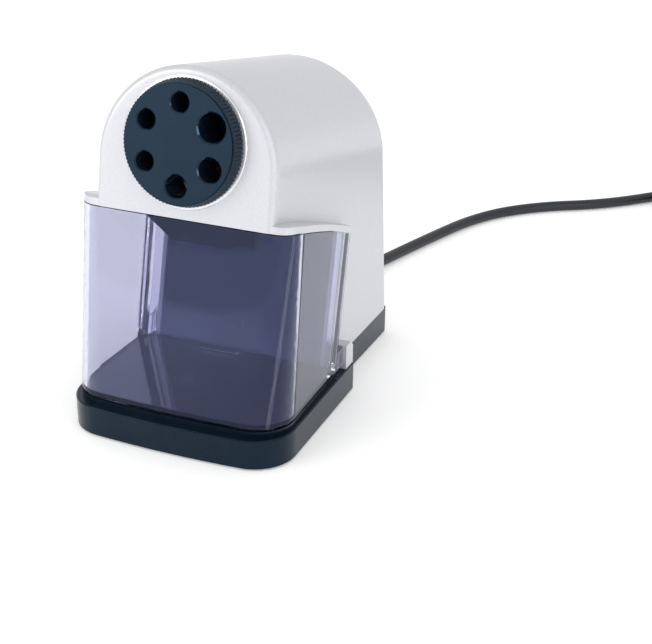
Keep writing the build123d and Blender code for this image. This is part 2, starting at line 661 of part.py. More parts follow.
with BuildPart() as motor_shaft:
    shaft_start = CARRIER_REAR + 5.2
    shaft_end = MOTOR_FRONT + MOTOR_LENGTH + 8.4
    disc(at_depth(shaft_start, MOTOR_X, MOTOR_UP), MOTOR_SHAFT, shaft_end - shaft_start)
motor_shaft.part.label = "motor_shaft"

with BuildPart() as motor_pinion:
    first_motor = MOTOR_BEARING + 180.0 + 180.0 / MOTOR_TEETH
    spur_gear(
        at_depth(CARRIER_REAR + 5.4, MOTOR_X, MOTOR_UP),
        MOTOR_TEETH,
        MOTOR_MODULE,
        first_motor,
        3.6,
        MOTOR_SHAFT + 0.02,
    )
motor_pinion.part.label = "motor_pinion"

with BuildPart() as motor_fan:
    fan_front = MOTOR_FRONT + MOTOR_LENGTH + 3.6
    disc(at_depth(fan_front, MOTOR_X, MOTOR_UP), 4.0, 4.4, MOTOR_SHAFT + 0.02)
    with BuildSketch(at_depth(fan_front + 3.2, MOTOR_X, MOTOR_UP)):
        Circle(15.0)
        Circle(MOTOR_SHAFT + 0.02, mode=Mode.SUBTRACT)
    extrude(amount=-1.2)
    with BuildSketch(at_depth(fan_front, MOTOR_X, MOTOR_UP)):
        with PolarLocations(9.2, 8):
            Rectangle(11.0, 1.0)
    extrude(amount=-3.4)
motor_fan.part.label = "motor_fan"

# ---------------------------------------------------------------- start lever and switch
LEVER_FRONT = 10.6
LEVER_THICK = 3.0
LEVER_X = 13.0
LEVER_UP = -31.0
SWITCH_X = 23.5

with BuildPart() as start_lever:
    with BuildSketch(at_depth(LEVER_FRONT, LEVER_X, LEVER_UP)):
        Polygon((2.6, 1.0), (-2.6, -1.0), (-10.2, 10.4), (-9.4, 13.2), (-7.0, 12.2))
        Polygon((-1.0, 2.6), (1.0, -2.6), (12.6, -0.4), (12.6, 1.8))
        Circle(3.2)
        Circle(1.35, mode=Mode.SUBTRACT)
    extrude(amount=-LEVER_THICK)
start_lever.part.label = "start_lever"

with BuildPart() as start_lever_pin:
    disc(at_depth(LEVER_FRONT - 0.8, LEVER_X, LEVER_UP), 1.3, PLATE_FRONT - LEVER_FRONT + 0.8)
start_lever_pin.part.label = "start_lever_pin"

BUTTON_TOP = LEVER_UP - 1.1
with BuildPart() as start_switch_button:
    with BuildSketch(at_depth(LEVER_FRONT + 0.6)):
        with Locations((SWITCH_X, BUTTON_TOP - 2.2)):
            Rectangle(2.4, 4.0)
    extrude(amount=-1.8)
start_switch_button.part.label = "start_switch_button"

with BuildPart() as start_switch:
    with BuildSketch(at_depth(LEVER_FRONT - 0.8)):
        with Locations((SWITCH_X - 1.5, BUTTON_TOP - 6.2)):
            Rectangle(15.0, 6.4)
    extrude(amount=-(PLATE_FRONT - LEVER_FRONT + 0.8))
    with BuildSketch(at_depth(LEVER_FRONT + 0.5)):
        with Locations((SWITCH_X, BUTTON_TOP - 4.4)):
            Rectangle(2.6, 6.6)
    extrude(amount=-2.0, mode=Mode.SUBTRACT)
start_switch.part.label = "start_switch"

# ---------------------------------------------------------------- drawer switch
PLUNGER_FRONT = bulkhead_y(PLUNGER_Z) - 0.2

with BuildPart() as interlock_plunger:
    with BuildSketch(Plane.XZ.offset(-PLUNGER_FRONT)):
        with Locations((0, PLUNGER_Z)):
            Circle(2.2)
    extrude(amount=-9.0)
interlock_plunger.part.label = "interlock_plunger"

with BuildPart() as interlock_switch:
    with BuildSketch(Plane.XZ.offset(-PLUNGER_FRONT - 5.0)):
        with Locations((0, PLUNGER_Z)):
            Rectangle(20.0, 11.0)
    extrude(amount=-8.0)
    with BuildSketch(Plane.XZ.offset(-PLUNGER_FRONT - 5.0)):
        with Locations((0, PLUNGER_Z)):
            Circle(2.3)
    extrude(amount=-5.6, mode=Mode.SUBTRACT)
    with BuildSketch(Plane.XZ.offset(-PLUNGER_FRONT - 13.0)):
        with Locations((-6.0, PLUNGER_Z), (0, PLUNGER_Z), (6.0, PLUNGER_Z)):
            Rectangle(3.2, 0.8)
    extrude(amount=-6.0)
    with BuildSketch(Plane.XY.offset(PLINTH_Z)):
        with Locations((0, PLUNGER_FRONT + 9.0)):
            Rectangle(12.0, 4.0)
    extrude(amount=PLUNGER_Z - 5.5 - PLINTH_Z)
interlock_switch.part.label = "interlock_switch"

# ---------------------------------------------------------------- electronics on the base's floor
BOARD_Z = FLOOR_TOP + 4.0
BOARD_TOP = BOARD_Z + 1.6
with BuildPart() as circuit_board:
    with BuildSketch(Plane.XY.offset(BOARD_Z)):
        with Locations((0, 44.0)):
            Rectangle(62.0, 34.0)
        with Locations((-26.0, 30.5), (26.0, 30.5), (-26.0, 57.5), (26.0, 57.5)):
            Circle(1.4, mode=Mode.SUBTRACT)
    extrude(amount=1.6)
circuit_board.part.label = "circuit_board"

with BuildPart() as board_relay:
    with BuildSketch(Plane.XY.offset(BOARD_TOP)):
        with Locations((-17.0, 44.0)):
            Rectangle(19.0, 15.5)
    extrude(amount=15.3)
    fillet(board_relay.edges().filter_by(Axis.Z), radius=0.8)
board_relay.part.label = "board_relay"

with BuildPart() as board_capacitor:
    with BuildSketch(Plane.XY.offset(BOARD_TOP)):
        with Locations((4.0, 40.0)):
            Circle(6.0)
    extrude(amount=16.0)
    chamfer(board_capacitor.faces().sort_by(Axis.Z)[-1].edges(), length=0.6)
board_capacitor.part.label = "board_capacitor"

with BuildPart() as terminal_block:
    with BuildSketch(Plane.XY.offset(BOARD_TOP)):
        with Locations((20.0, 50.0)):
            Rectangle(15.0, 8.0)
    extrude(amount=10.0)
    for x in (15.0, 20.0, 25.0):
        with Locations(Plane.XY.offset(BOARD_TOP + 10.0)):
            with Locations((x, 50.0)):
                Hole(radius=1.5, depth=6.0)
terminal_block.part.label = "terminal_block"

# ---------------------------------------------------------------- screws
with BuildPart() as base_screws:
    for x, y in SCREW_POSTS:
        with BuildSketch(Plane.XY.offset(BASE_Z + 0.9)):
            with Locations((x, y)):
                Circle(3.0)
                RegularPolygon(1.4, 6, mode=Mode.SUBTRACT)
        extrude(amount=2.2)
        with BuildSketch(Plane.XY.offset(BASE_Z + 2.4)):
            with Locations((x, y)):
                Circle(1.5)
        extrude(amount=20.0)
base_screws.part.label = "base_screws"


def frame_screw(depth, x, up, head_radius, head_height, shank, length):
    """Cap screw driven towards the front, with a cross in its head."""
    disc(at_depth(depth, x, up), head_radius, head_height)
    disc(at_depth(depth - length, x, up), shank, length + 0.5)
    with BuildSketch(at_depth(depth + head_height - 0.9, x, up)) as cross:
        Rectangle(2.6, 0.6)
        Rectangle(0.6, 2.6)
    extrude(cross.sketch, amount=-1.0, mode=Mode.SUBTRACT)


with BuildPart() as frame_screws:
    for x, up in FRAME_BOSSES:
        frame_screw(PLATE_FRONT + PLATE, x, up, 2.6, 1.8, 1.3, 11.0)
frame_screws.part.label = "frame_screws"

with BuildPart() as motor_screws:
    for x in (MOTOR_X - 13.0, MOTOR_X + 13.0):
        disc(at_depth(GEAR_PLATE - 1.5, x, MOTOR_UP), 2.2, 1.5)
        disc(at_depth(GEAR_PLATE - 1.0, x, MOTOR_UP), 1.0, 5.4)
motor_screws.part.label = "motor_screws"

# ---------------------------------------------------------------- lead
RELIEF_END = 102.0
ROUTE = (
    (0.0, 77.0, RELIEF_Z),
    (0.0, 118.0, RELIEF_Z),
    (9.0, 142.0, 3.6),
    (24.0, 193.0, 3.2),
    (43.0, 249.0, 3.2),
    (72.0, 282.0, 3.2),
    (112.0, 305.0, 3.2),
    (150.0, 345.0, 3.2),
    (163.0, 357.0, 3.2),
)
COIL_X = 196.0
COIL_Y = 330.0
COIL_OUTER = 48.4
COIL_INNER = 22.8
COIL_Z = 12.6
LEAD_END_RADIUS = 40.0        # where the lead meets its plug, from the coil's middle
LEAD_END_ANGLE = -47.0

with BuildPart() as strain_relief:
    with BuildSketch(Plane.YZ):
        with BuildLine():
            Polyline(
                (73.0, RELIEF_Z),
                (73.0, RELIEF_Z + 5.4),
                (75.7, RELIEF_Z + 5.4),
                (75.7, RELIEF_Z + 4.6),
                (78.4, RELIEF_Z + 4.6),
                (78.4, RELIEF_Z + 5.8),
                (81.0, RELIEF_Z + 5.6),
                (RELIEF_END, RELIEF_Z + 4.1),
                (RELIEF_END, RELIEF_Z),
                close=True,
            )
        make_face()
    revolve(axis=Axis((0, 0, RELIEF_Z), (0, 1, 0)))
    with BuildSketch(Plane.XZ.offset(-60.0)):
        with Locations((0, RELIEF_Z)):
            Circle(CORD_RADIUS + 0.05)
    extrude(amount=-60.0, mode=Mode.SUBTRACT)
strain_relief.part.label = "strain_relief"


def bend_radii(points):
    """Each bend's radius: 0.45 of its shorter run over the tangent of half its turn."""
    radii = []
    for before, here, after in zip(points, points[1:], points[2:]):
        run_in = Vector(here) - Vector(before)
        run_out = Vector(after) - Vector(here)
        half_turn = radians(run_in.get_angle(run_out)) / 2
        radii.append(0.45 * min(run_in.length, run_out.length) / tan(half_turn))
    return radii


radii = bend_radii(ROUTE)
with BuildPart() as power_cord:
    with BuildLine() as cord_line:
        FilletPolyline(*ROUTE, radius=radii)
    with BuildSketch(Plane(origin=ROUTE[0], x_dir=(1, 0, 0), z_dir=(0, 1, 0))):
        Circle(CORD_RADIUS)
    sweep()
power_cord.part.label = "power_cord"
cord_length = sum(edge.length for edge in cord_line.edges())
print("bend radii", [round(radius, 1) for radius in radii])
straight_volume = pi * CORD_RADIUS**2 * cord_length
print("cord", round(cord_length, 1), "volume ratio", power_cord.part.volume / straight_volume)

with BuildPart() as cord_coil:
    with BuildSketch(Plane.XY):
        with Locations((COIL_X, COIL_Y)):
            Circle(COIL_OUTER)
            Circle(COIL_INNER, mode=Mode.SUBTRACT)
    extrude(amount=COIL_Z)
    fillet(cord_coil.edges().filter_by(GeomType.CIRCLE), radius=2.6)
cord_coil.part.label = "cord_coil"

# plug, lying on the coil, with its pins on the way that the last turn points
PLUG_Z = COIL_Z + 6.1
PLUG_ANGLE = LEAD_END_ANGLE - 90.0
PLUG_LENGTH = 36.0
PLUG_TAPER = 12.0
plug_reach = PLUG_TAPER - 1.0
PLUG_X = COIL_X + LEAD_END_RADIUS * cos(radians(LEAD_END_ANGLE)) + plug_reach * cos(radians(PLUG_ANGLE))
PLUG_Y = COIL_Y + LEAD_END_RADIUS * sin(radians(LEAD_END_ANGLE)) + plug_reach * sin(radians(PLUG_ANGLE))
plug_plane = Plane(
    origin=(PLUG_X, PLUG_Y, PLUG_Z),
    x_dir=(-sin(radians(PLUG_ANGLE)), cos(radians(PLUG_ANGLE)), 0),
    z_dir=(cos(radians(PLUG_ANGLE)), sin(radians(PLUG_ANGLE)), 0),
)

with BuildPart() as plug_body:
    with BuildSketch(plug_plane.offset(-PLUG_TAPER)):
        SlotOverall(10.0, 7.4)
    with BuildSketch(plug_plane):
        SlotOverall(30.0, 12.0)
    loft()
    with BuildSketch(plug_plane):
        SlotOverall(30.0, 12.0)
    extrude(amount=PLUG_LENGTH - PLUG_TAPER - 9.0)
plug_body.part.label = "plug_body"

with BuildPart() as plug_pins:
    with BuildSketch(plug_plane.offset(PLUG_LENGTH - 21.0)):
        with Locations((-9.3, 0), (9.3, 0)):
            Circle(2.0)
    extrude(amount=19.0)
    fillet(plug_pins.faces().sort_by(Axis((0, 0, 0), plug_plane.z_dir))[-2:].edges(), radius=0.9)
plug_pins.part.label = "plug_pins"

# ---------------------------------------------------------------- one file for each piece
PIECES = [
    base_tray, *feet.values(), housing_shell, dial_bezel, bulkhead, shavings_drawer, selector_dial,
    dial_spindle, front_plate, gear_plate, *pillars.values(), front_bush, rear_bush, ring_gear,
    helical_cutter, cutter_shaft, cutter_pinion, cutter_carrier, carrier_gear, carrier_journal,
    idler_gear, idler_axle, motor_can, motor_stator, motor_end_cap, motor_rotor, motor_shaft,
    motor_pinion, motor_fan, start_lever, start_lever_pin, start_switch_button, start_switch,
    interlock_plunger, interlock_switch, circuit_board, board_relay, board_capacitor,
    terminal_block, base_screws, frame_screws, motor_screws, strain_relief, power_cord, cord_coil,
    plug_body, plug_pins,
]

os.makedirs("parts", exist_ok=True)
for piece in PIECES:
    export_step(piece.part, f"parts/{piece.part.label}.step")
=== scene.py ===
# %% [markdown]
# # An electric pencil sharpener on a studio table
#
# The sharpener is a small machine in a painted plastic shell.  Its gears, motor, drawer and dial
# arrive as finished solids, all in one frame.  This lesson gives each surface the material that it
# is made of, adds the pieces that are soft or finely ribbed, and sets up camera and light.

# %% Load the fixed frame
from math import cos, pi, radians, sin

import bpy
import numpy as np
from mathutils import Matrix, Vector


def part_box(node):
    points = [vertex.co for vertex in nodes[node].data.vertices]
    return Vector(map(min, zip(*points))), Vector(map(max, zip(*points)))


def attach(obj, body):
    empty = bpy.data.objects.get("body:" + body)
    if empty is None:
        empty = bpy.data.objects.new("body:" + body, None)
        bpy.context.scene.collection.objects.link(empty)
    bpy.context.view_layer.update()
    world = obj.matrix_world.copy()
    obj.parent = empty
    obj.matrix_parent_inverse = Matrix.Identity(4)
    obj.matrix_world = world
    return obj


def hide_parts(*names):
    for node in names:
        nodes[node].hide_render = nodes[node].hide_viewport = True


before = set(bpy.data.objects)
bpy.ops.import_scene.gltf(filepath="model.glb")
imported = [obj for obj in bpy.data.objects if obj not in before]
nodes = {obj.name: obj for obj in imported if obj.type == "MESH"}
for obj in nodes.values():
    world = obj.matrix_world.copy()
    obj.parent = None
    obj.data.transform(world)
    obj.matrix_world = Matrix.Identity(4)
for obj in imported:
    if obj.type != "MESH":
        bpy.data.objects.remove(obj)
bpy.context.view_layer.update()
scene = bpy.context.scene
print("pieces from the frame:", len(nodes))

# %% [markdown]
# ## The camera
#
# A small machine keeps its proportions when it is seen through a long lens, from a little above
# the desk.  The camera is placed by a point and three angles, because then each of them can be
# read and changed alone: how far it is turned round the object, how far it looks down, and a
# slight roll.

# %% Place the camera
CAMERA_AT = Vector((0.2522, -0.51835, 0.3025))
CAMERA_TURN = radians(22.0)
CAMERA_DOWN = radians(25.32)
CAMERA_ROLL = radians(0.82)
LENS_MM = 74.27
SENSOR_MM = 36.0

ahead = Vector((-sin(CAMERA_TURN) * cos(CAMERA_DOWN), cos(CAMERA_TURN) * cos(CAMERA_DOWN), -sin(CAMERA_DOWN)))
level = ahead.cross(Vector((0, 0, 1))).normalized()
upright = level.cross(ahead)
right = level * cos(CAMERA_ROLL) + upright * sin(CAMERA_ROLL)
up = upright * cos(CAMERA_ROLL) - level * sin(CAMERA_ROLL)

camera_data = bpy.data.cameras.new("camera")
camera_data.lens = LENS_MM
camera_data.sensor_width = SENSOR_MM
camera_data.sensor_fit = "HORIZONTAL"
camera_data.clip_end = 50.0
camera = bpy.data.objects.new("camera", camera_data)
camera.matrix_world = Matrix.Translation(CAMERA_AT) @ Matrix((right, up, -ahead)).transposed().to_4x4()
scene.collection.objects.link(camera)
scene.camera = camera
print("camera height", round(CAMERA_AT.z, 3), "lens", LENS_MM)

# %% [markdown]
# ## The lead
#
# The mains lead is one fixed length of round PVC cable, 1.8 m of it.  It leaves the back of the
# base through a strain relief, bends round to the right along the desk, and the rest is wound into
# a flat coil.  A NURBS curve of order three suits it: the curve is smooth everywhere, and each
# control point pulls it gently, as a stiff cable is pulled.  The coil is two flat spirals, one on
# the other, and a part turn on top, and its points come from a loop.

# %% Points of the lead
CORD_RADIUS = 0.0031
ROUTE = (
    (0.0, 0.077, 0.0076),
    (0.0, 0.118, 0.0076),
    (0.009, 0.142, 0.0036),
    (0.024, 0.193, 0.0032),
    (0.043, 0.249, 0.0032),
    (0.072, 0.282, 0.0032),
    (0.112, 0.305, 0.0032),
    (0.150, 0.345, 0.0032),
)
COIL_CENTRE = Vector((0.196, 0.330))
TURN_POINTS = 16
OUTER_TURN = 0.0450
INNER_TURN = 0.0263
FIRST_ANGLE = 133.0
LAYER_TURNS = 3.0
TOP_SHARE = 0.5
FIRST_HEIGHT = 0.0032
LAYER_RISE = 0.0062
PLUG_RISE = 0.0031
CLIMB_FROM = 0.25
CLIMB_TURNS = 0.55
TOP_DRAWS_IN = 0.010


def eased(share):
    """0 below 0, 1 above 1, and 3 s^2 - 2 s^3 between them, which starts and ends level."""
    kept = np.clip(share, 0, 1)
    return kept ** 2 * (3 - 2 * kept)


def coil_points():
    """Clockwise turns: the radius falls evenly to the middle, then grows again one layer up, and
    a part turn on top goes to the plug.  Each climb to the next layer is spread over half a turn."""
    turn = np.arange(int((2 * LAYER_TURNS + TOP_SHARE) * TURN_POINTS) + 1) / TURN_POINTS
    angle = radians(FIRST_ANGLE) - 2 * pi * turn
    pitch = (OUTER_TURN - INNER_TURN) / LAYER_TURNS
    top = turn - 2 * LAYER_TURNS
    inward = OUTER_TURN - pitch * turn
    outward = INNER_TURN + pitch * (turn - LAYER_TURNS)
    radius = np.where(turn < LAYER_TURNS, inward, np.where(top < 0, outward, OUTER_TURN - TOP_DRAWS_IN * top))
    climbs = eased((turn - LAYER_TURNS + CLIMB_FROM) / CLIMB_TURNS) + eased((top + CLIMB_FROM) / CLIMB_TURNS)
    height = FIRST_HEIGHT + LAYER_RISE * climbs + PLUG_RISE * (np.maximum(top, 0) / TOP_SHARE) ** 2
    across = COIL_CENTRE.x + radius * np.cos(angle)
    along = COIL_CENTRE.y + radius * np.sin(angle)
    return np.column_stack([across, along, height])


turns = coil_points()
print("points in the route and the coil", len(ROUTE) + len(turns), "end", turns[-1])

# %% [markdown]
# ## From points to a cable
#
# The curve gives the smooth line, and a round profile is carried along it to give the surface.
# Carrying the profile needs a side direction at each place.  The line is nearly level, so the
# side is the line's direction crossed with the vertical, and no twist can creep in.

# %% Smooth line, then a tube round it
LEAD_SIDES = 20
STEPS_PER_POINT = 8


def smooth_line(points):
    """The line of a NURBS spline of order three that is held at both of its ends."""
    data = bpy.data.curves.new("lead_line", "CURVE")
    data.dimensions = "3D"
    data.resolution_u = STEPS_PER_POINT
    spline = data.splines.new("NURBS")
    spline.points.add(len(points) - 1)
    spline.points.foreach_set("co", np.hstack([points, np.ones((len(points), 1))]).ravel())
    spline.order_u = 3
    spline.use_endpoint_u = True
    line = bpy.data.objects.new("lead_line", data)
    mesh = bpy.data.meshes.new_from_object(line)
    places = np.empty(len(mesh.vertices) * 3)
    mesh.vertices.foreach_get("co", places)
    bpy.data.objects.remove(line)
    bpy.data.meshes.remove(mesh)
    return places.reshape(-1, 3)


def grid_mesh(name, grid):
    """Quads between the rows and columns of a grid of points (rows, columns, 3), whose columns
    close on themselves, with one flat face on each end row."""
    rows, columns = grid.shape[:2]
    here = np.arange(rows * columns).reshape(rows, columns)
    after = np.roll(here, -1, axis=1)
    quads = np.stack([here[:-1], after[:-1], after[1:], here[1:]], axis=-1).reshape(-1, 4)
    faces = [*quads.tolist(), here[0, ::-1].tolist(), here[-1].tolist()]
    mesh = bpy.data.meshes.new(name)
    mesh.from_pydata(grid.reshape(-1, 3).tolist(), [], faces)
    mesh.polygons.foreach_set("use_smooth", [True] * len(quads) + [False, False])
    mesh.update()
    piece = bpy.data.objects.new(name, mesh)
    scene.collection.objects.link(piece)
    return piece


def tube_grid(line, radius, sides):
    """Place + radius * (side * cos + over * sin), where side and over are square to the line."""
    ahead_way = np.gradient(line, axis=0)
    ahead_way /= np.linalg.norm(ahead_way, axis=1)[:, None]
    side = np.cross(ahead_way, (0.0, 0.0, 1.0))
    side /= np.linalg.norm(side, axis=1)[:, None]
    over = np.cross(side, ahead_way)
    angle = np.linspace(0, 2 * pi, sides, endpoint=False)[None, :, None]
    return line[:, None] + radius * (side[:, None] * np.cos(angle) + over[:, None] * np.sin(angle))


line = smooth_line(np.array([*ROUTE, *turns]))
lead = grid_mesh("mains_lead", tube_grid(line, CORD_RADIUS, LEAD_SIDES))
print("length of the lead", round(float(np.linalg.norm(np.diff(line, axis=0), axis=1).sum()), 4))

# %% [markdown]
# ## The strain relief
#
# Where the lead leaves the base, a soft sleeve keeps it from being bent sharply.  It is moulded
# with rings, so that it bends a little at every groove.  A surface of revolution suits it: a
# profile, radius against distance, is carried round the lead's straight first stretch.

# %% Turn the ringed sleeve
relief_low, relief_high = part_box("strain_relief")
RELIEF_START = relief_low.y
RELIEF_END = relief_high.y
RELIEF_RINGS = 6
RING_DEPTH = 0.00055
COLLAR_LENGTH = 0.0065
PLAIN_END = 0.002
COLLAR_RADIUS = 0.0056
TAPER = 0.0013
ROUNDING_FROM = 0.97
ROUNDING_DEPTH = 0.0008
GROOVE_SHARPNESS = 8
RELIEF_ROWS = 181
RELIEF_SIDES = 48


def sleeve_profile(share):
    """Radius along the sleeve: a straight taper, less a ring groove that is the eighth power of a
    sine, behind a plain collar, and rounded over at the far end by a quarter ellipse."""
    straight = COLLAR_RADIUS - TAPER * share
    length = RELIEF_END - RELIEF_START
    ringed = np.clip((share * length - COLLAR_LENGTH) / (length - COLLAR_LENGTH - PLAIN_END), 0, 1)
    inside = (ringed > 0) * (ringed < 1)
    groove = RING_DEPTH * np.abs(np.sin(pi * RELIEF_RINGS * ringed)) ** GROOVE_SHARPNESS * inside
    rounding = np.clip((share - ROUNDING_FROM) / (1 - ROUNDING_FROM), 0, 1)
    return straight - groove - ROUNDING_DEPTH * (1 - np.sqrt(1 - rounding ** 2))


share = np.linspace(0, 1, RELIEF_ROWS)[:, None]
around = np.linspace(0, 2 * pi, RELIEF_SIDES, endpoint=False)[None, :]
radius = sleeve_profile(share)
relief_z = (relief_low.z + relief_high.z) / 2
sleeve_grid = np.stack([
    radius * np.sin(around),
    RELIEF_START + (RELIEF_END - RELIEF_START) * share + 0 * around,
    relief_z + radius * np.cos(around),
], axis=-1)
relief = grid_mesh("ringed_strain_relief", sleeve_grid)
print("sleeve radius", round(float(radius.min()), 5), "to", round(float(radius.max()), 5))

# %% [markdown]
# ## The plug
#
# The plug's body is moulded on to the lead in the same PVC, with ribs on its sides so that it can
# be pulled out.  Its shape is a path of rounded rectangles: each ring is a superellipse, whose
# width and height are read from a short table of stations and eased between them.

# %% Sweep the plug's body along the way that it points
LEAD_END = Vector(turns[-1])
PLUG_TURN = radians(FIRST_ANGLE - 360 * (2 * LAYER_TURNS + TOP_SHARE) - 90.0)
PLUG_AHEAD = Vector((cos(PLUG_TURN), sin(PLUG_TURN), 0))
PLUG_SIDE = Vector((-sin(PLUG_TURN), cos(PLUG_TURN), 0))
STATIONS = (0.0, 0.004, 0.012, 0.022, 0.0275, 0.0345, 0.0357)
HALF_WIDTHS = (0.0042, 0.0050, 0.0090, 0.0100, 0.0122, 0.0122, 0.0114)
HALF_HEIGHTS = (0.0040, 0.0044, 0.0058, 0.0060, 0.0060, 0.0060, 0.0054)
SQUARENESS = 3.4
ROUND_UNTIL = 0.010
GRIP_RIBS = 5
GRIP_FROM = 0.011
GRIP_LENGTH = 0.012
RIB_HEIGHT = 0.0005
PLUG_ROWS = 150
PLUG_SIDES = 72


def plug_grid(rows, columns):
    """Superellipse rings, |x/a|^n + |z/b|^n = 1, whose half sizes follow the stations; between two
    places a squared sine is taken away from the width, which leaves the grip ribs."""
    along = np.linspace(STATIONS[0], STATIONS[-1], rows)[:, None]
    angle = np.linspace(0, 2 * pi, columns, endpoint=False)[None, :]
    half_width = np.interp(along, STATIONS, HALF_WIDTHS)
    half_height = np.interp(along, STATIONS, HALF_HEIGHTS)
    grip = np.clip((along - GRIP_FROM) / GRIP_LENGTH, 0, 1)
    half_width = half_width - RIB_HEIGHT * np.sin(pi * GRIP_RIBS * grip) ** 2
    power = 2.0 / np.interp(along, (0.0, ROUND_UNTIL), (2.0, SQUARENESS))
    across = half_width * np.sign(np.cos(angle)) * np.abs(np.cos(angle)) ** power
    height = half_height * np.sign(np.sin(angle)) * np.abs(np.sin(angle)) ** power
    points = [LEAD_END[k] + PLUG_AHEAD[k] * along + PLUG_SIDE[k] * across for k in (0, 1)]
    return np.stack([*points, LEAD_END.z + height], axis=-1)


plug = grid_mesh("moulded_plug", plug_grid(PLUG_ROWS, PLUG_SIDES))
print("plug starts at", [round(v, 4) for v in LEAD_END])

# %% [markdown]
# ## Which body each new piece goes with, and what it stands for
#
# The lead, sleeve and plug belong to the fixed body.

# %% Ride and replace
for piece, stood_for, finish in (
    (lead, ("power_cord", "cord_coil"), "cord_pvc"),
    (relief, ("strain_relief",), "rubber"),
    (plug, ("plug_body",), "cord_pvc"),
):
    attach(piece, "body")
    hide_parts(*stood_for)
print("pieces added:", [piece.name for piece in (lead, relief, plug)])

# %% [markdown]
# ## Colours and one helper for nodes
#
# Colours are written as the hex values that a paint chart or a web page gives, which are sRGB.
# Blender's shaders work with linear light, so one function changes them over.  A second function
# adds a shader node, sets it and links it, so that each material below reads as a short list.

# %% Colour and node helpers
def to_linear(hex_colour):
    """Each channel: below 0.04045 divided by 12.92, otherwise ((c + 0.055) / 1.055) to the 2.4."""
    values = [int(hex_colour[k:k + 2], 16) / 255 for k in (1, 3, 5)]
    return (*[v / 12.92 if v <= 0.04045 else ((v + 0.055) / 1.055) ** 2.4 for v in values], 1.0)


def add(tree, kind, inputs=(), **settings):
    """Adds one node.  Settings are its properties; inputs are pairs of socket and value or link."""
    node = tree.nodes.new(kind)
    for name, value in settings.items():
        setattr(node, name, value)
    for socket, value in dict(inputs).items():
        if isinstance(value, bpy.types.NodeSocket):
            tree.links.new(value, node.inputs[socket])
        else:
            node.inputs[socket].default_value = value
    return node


def new_material(name):
    """An empty node material, with the coordinates that its patterns are drawn in: the object's
    own, in metres, so a pattern keeps its real size and stays put when the piece moves."""
    material = bpy.data.materials.new(name)
    material.use_nodes = True
    material.node_tree.nodes.clear()
    place = add(material.node_tree, "ShaderNodeTexCoord")
    return material, material.node_tree, place.outputs["Object"]


def per_metre(size_mm):
    """Texture scale for a feature of that size: how many of them there are in one metre."""
    return 1000.0 / size_mm


def output(tree, shader):
    """Links a shader to the material's output."""
    add(tree, "ShaderNodeOutputMaterial", {"Surface": shader.outputs[0]})


print("white in linear light:", to_linear("#ffffff"), "middle grey:", round(to_linear("#808080")[0], 3))

# %% [markdown]
# ## Pearl silver paint
#
# The shell is ABS, moulded and then sprayed with a pearl silver paint.  A paint like this holds
# fine flakes under a clear binder: it is nearly white where it faces the light, turns soft grey
# away from it, and its highlights are wide.  A principled shader with a little metal in it, a
# medium roughness and a thin coat gives that.  The flakes are 0.05 mm across in reality; they are
# drawn 0.5 mm across, very faint, so that the surface isn't perfectly even.

# %% Mix the paint
FLAKE_MM = 0.5
ORANGE_PEEL_MM = 3.5
ORANGE_PEEL_HEIGHT = 0.00002
COAT_ROUGHNESS = 0.18


def painted(name, colour, shade, roughness, metallic, coat):
    """Flakes vary the colour a little, and the paint's long low waves bend the highlights."""
    material, tree, place = new_material(name)
    flakes = add(tree, "ShaderNodeTexVoronoi", {"Vector": place, "Scale": per_metre(FLAKE_MM)}, feature="F1")
    tint = add(tree, "ShaderNodeValToRGB", {"Fac": flakes.outputs["Color"]})
    tint.color_ramp.elements[0].color = to_linear(shade)
    tint.color_ramp.elements[1].color = to_linear(colour)
    waves = add(tree, "ShaderNodeTexNoise", {
        "Vector": place, "Scale": per_metre(ORANGE_PEEL_MM), "Detail": 2.0})
    bump = add(tree, "ShaderNodeBump", {
        "Height": waves.outputs["Fac"], "Distance": ORANGE_PEEL_HEIGHT, "Strength": 0.35})
    rough = add(tree, "ShaderNodeMapRange", {"Value": waves.outputs["Fac"], "To Min": roughness - 0.03,
                                             "To Max": roughness + 0.03})
    output(tree, add(tree, "ShaderNodeBsdfPrincipled", {
        "Base Color": tint.outputs["Color"], "Roughness": rough.outputs["Result"], "Metallic": metallic,
        "Coat Weight": coat, "Coat Roughness": COAT_ROUGHNESS, "Normal": bump.outputs["Normal"]}))
    return material


pearl_paint = painted("pearl_silver_paint", "#cccdd2", "#c4c5cb", 0.36, 0.35, 0.35)
trim_paint = painted("bright_silver_trim", "#e6e7ea", "#dcdde1", 0.2, 0.7, 0.5)
print("paints:", pearl_paint.name, trim_paint.name)
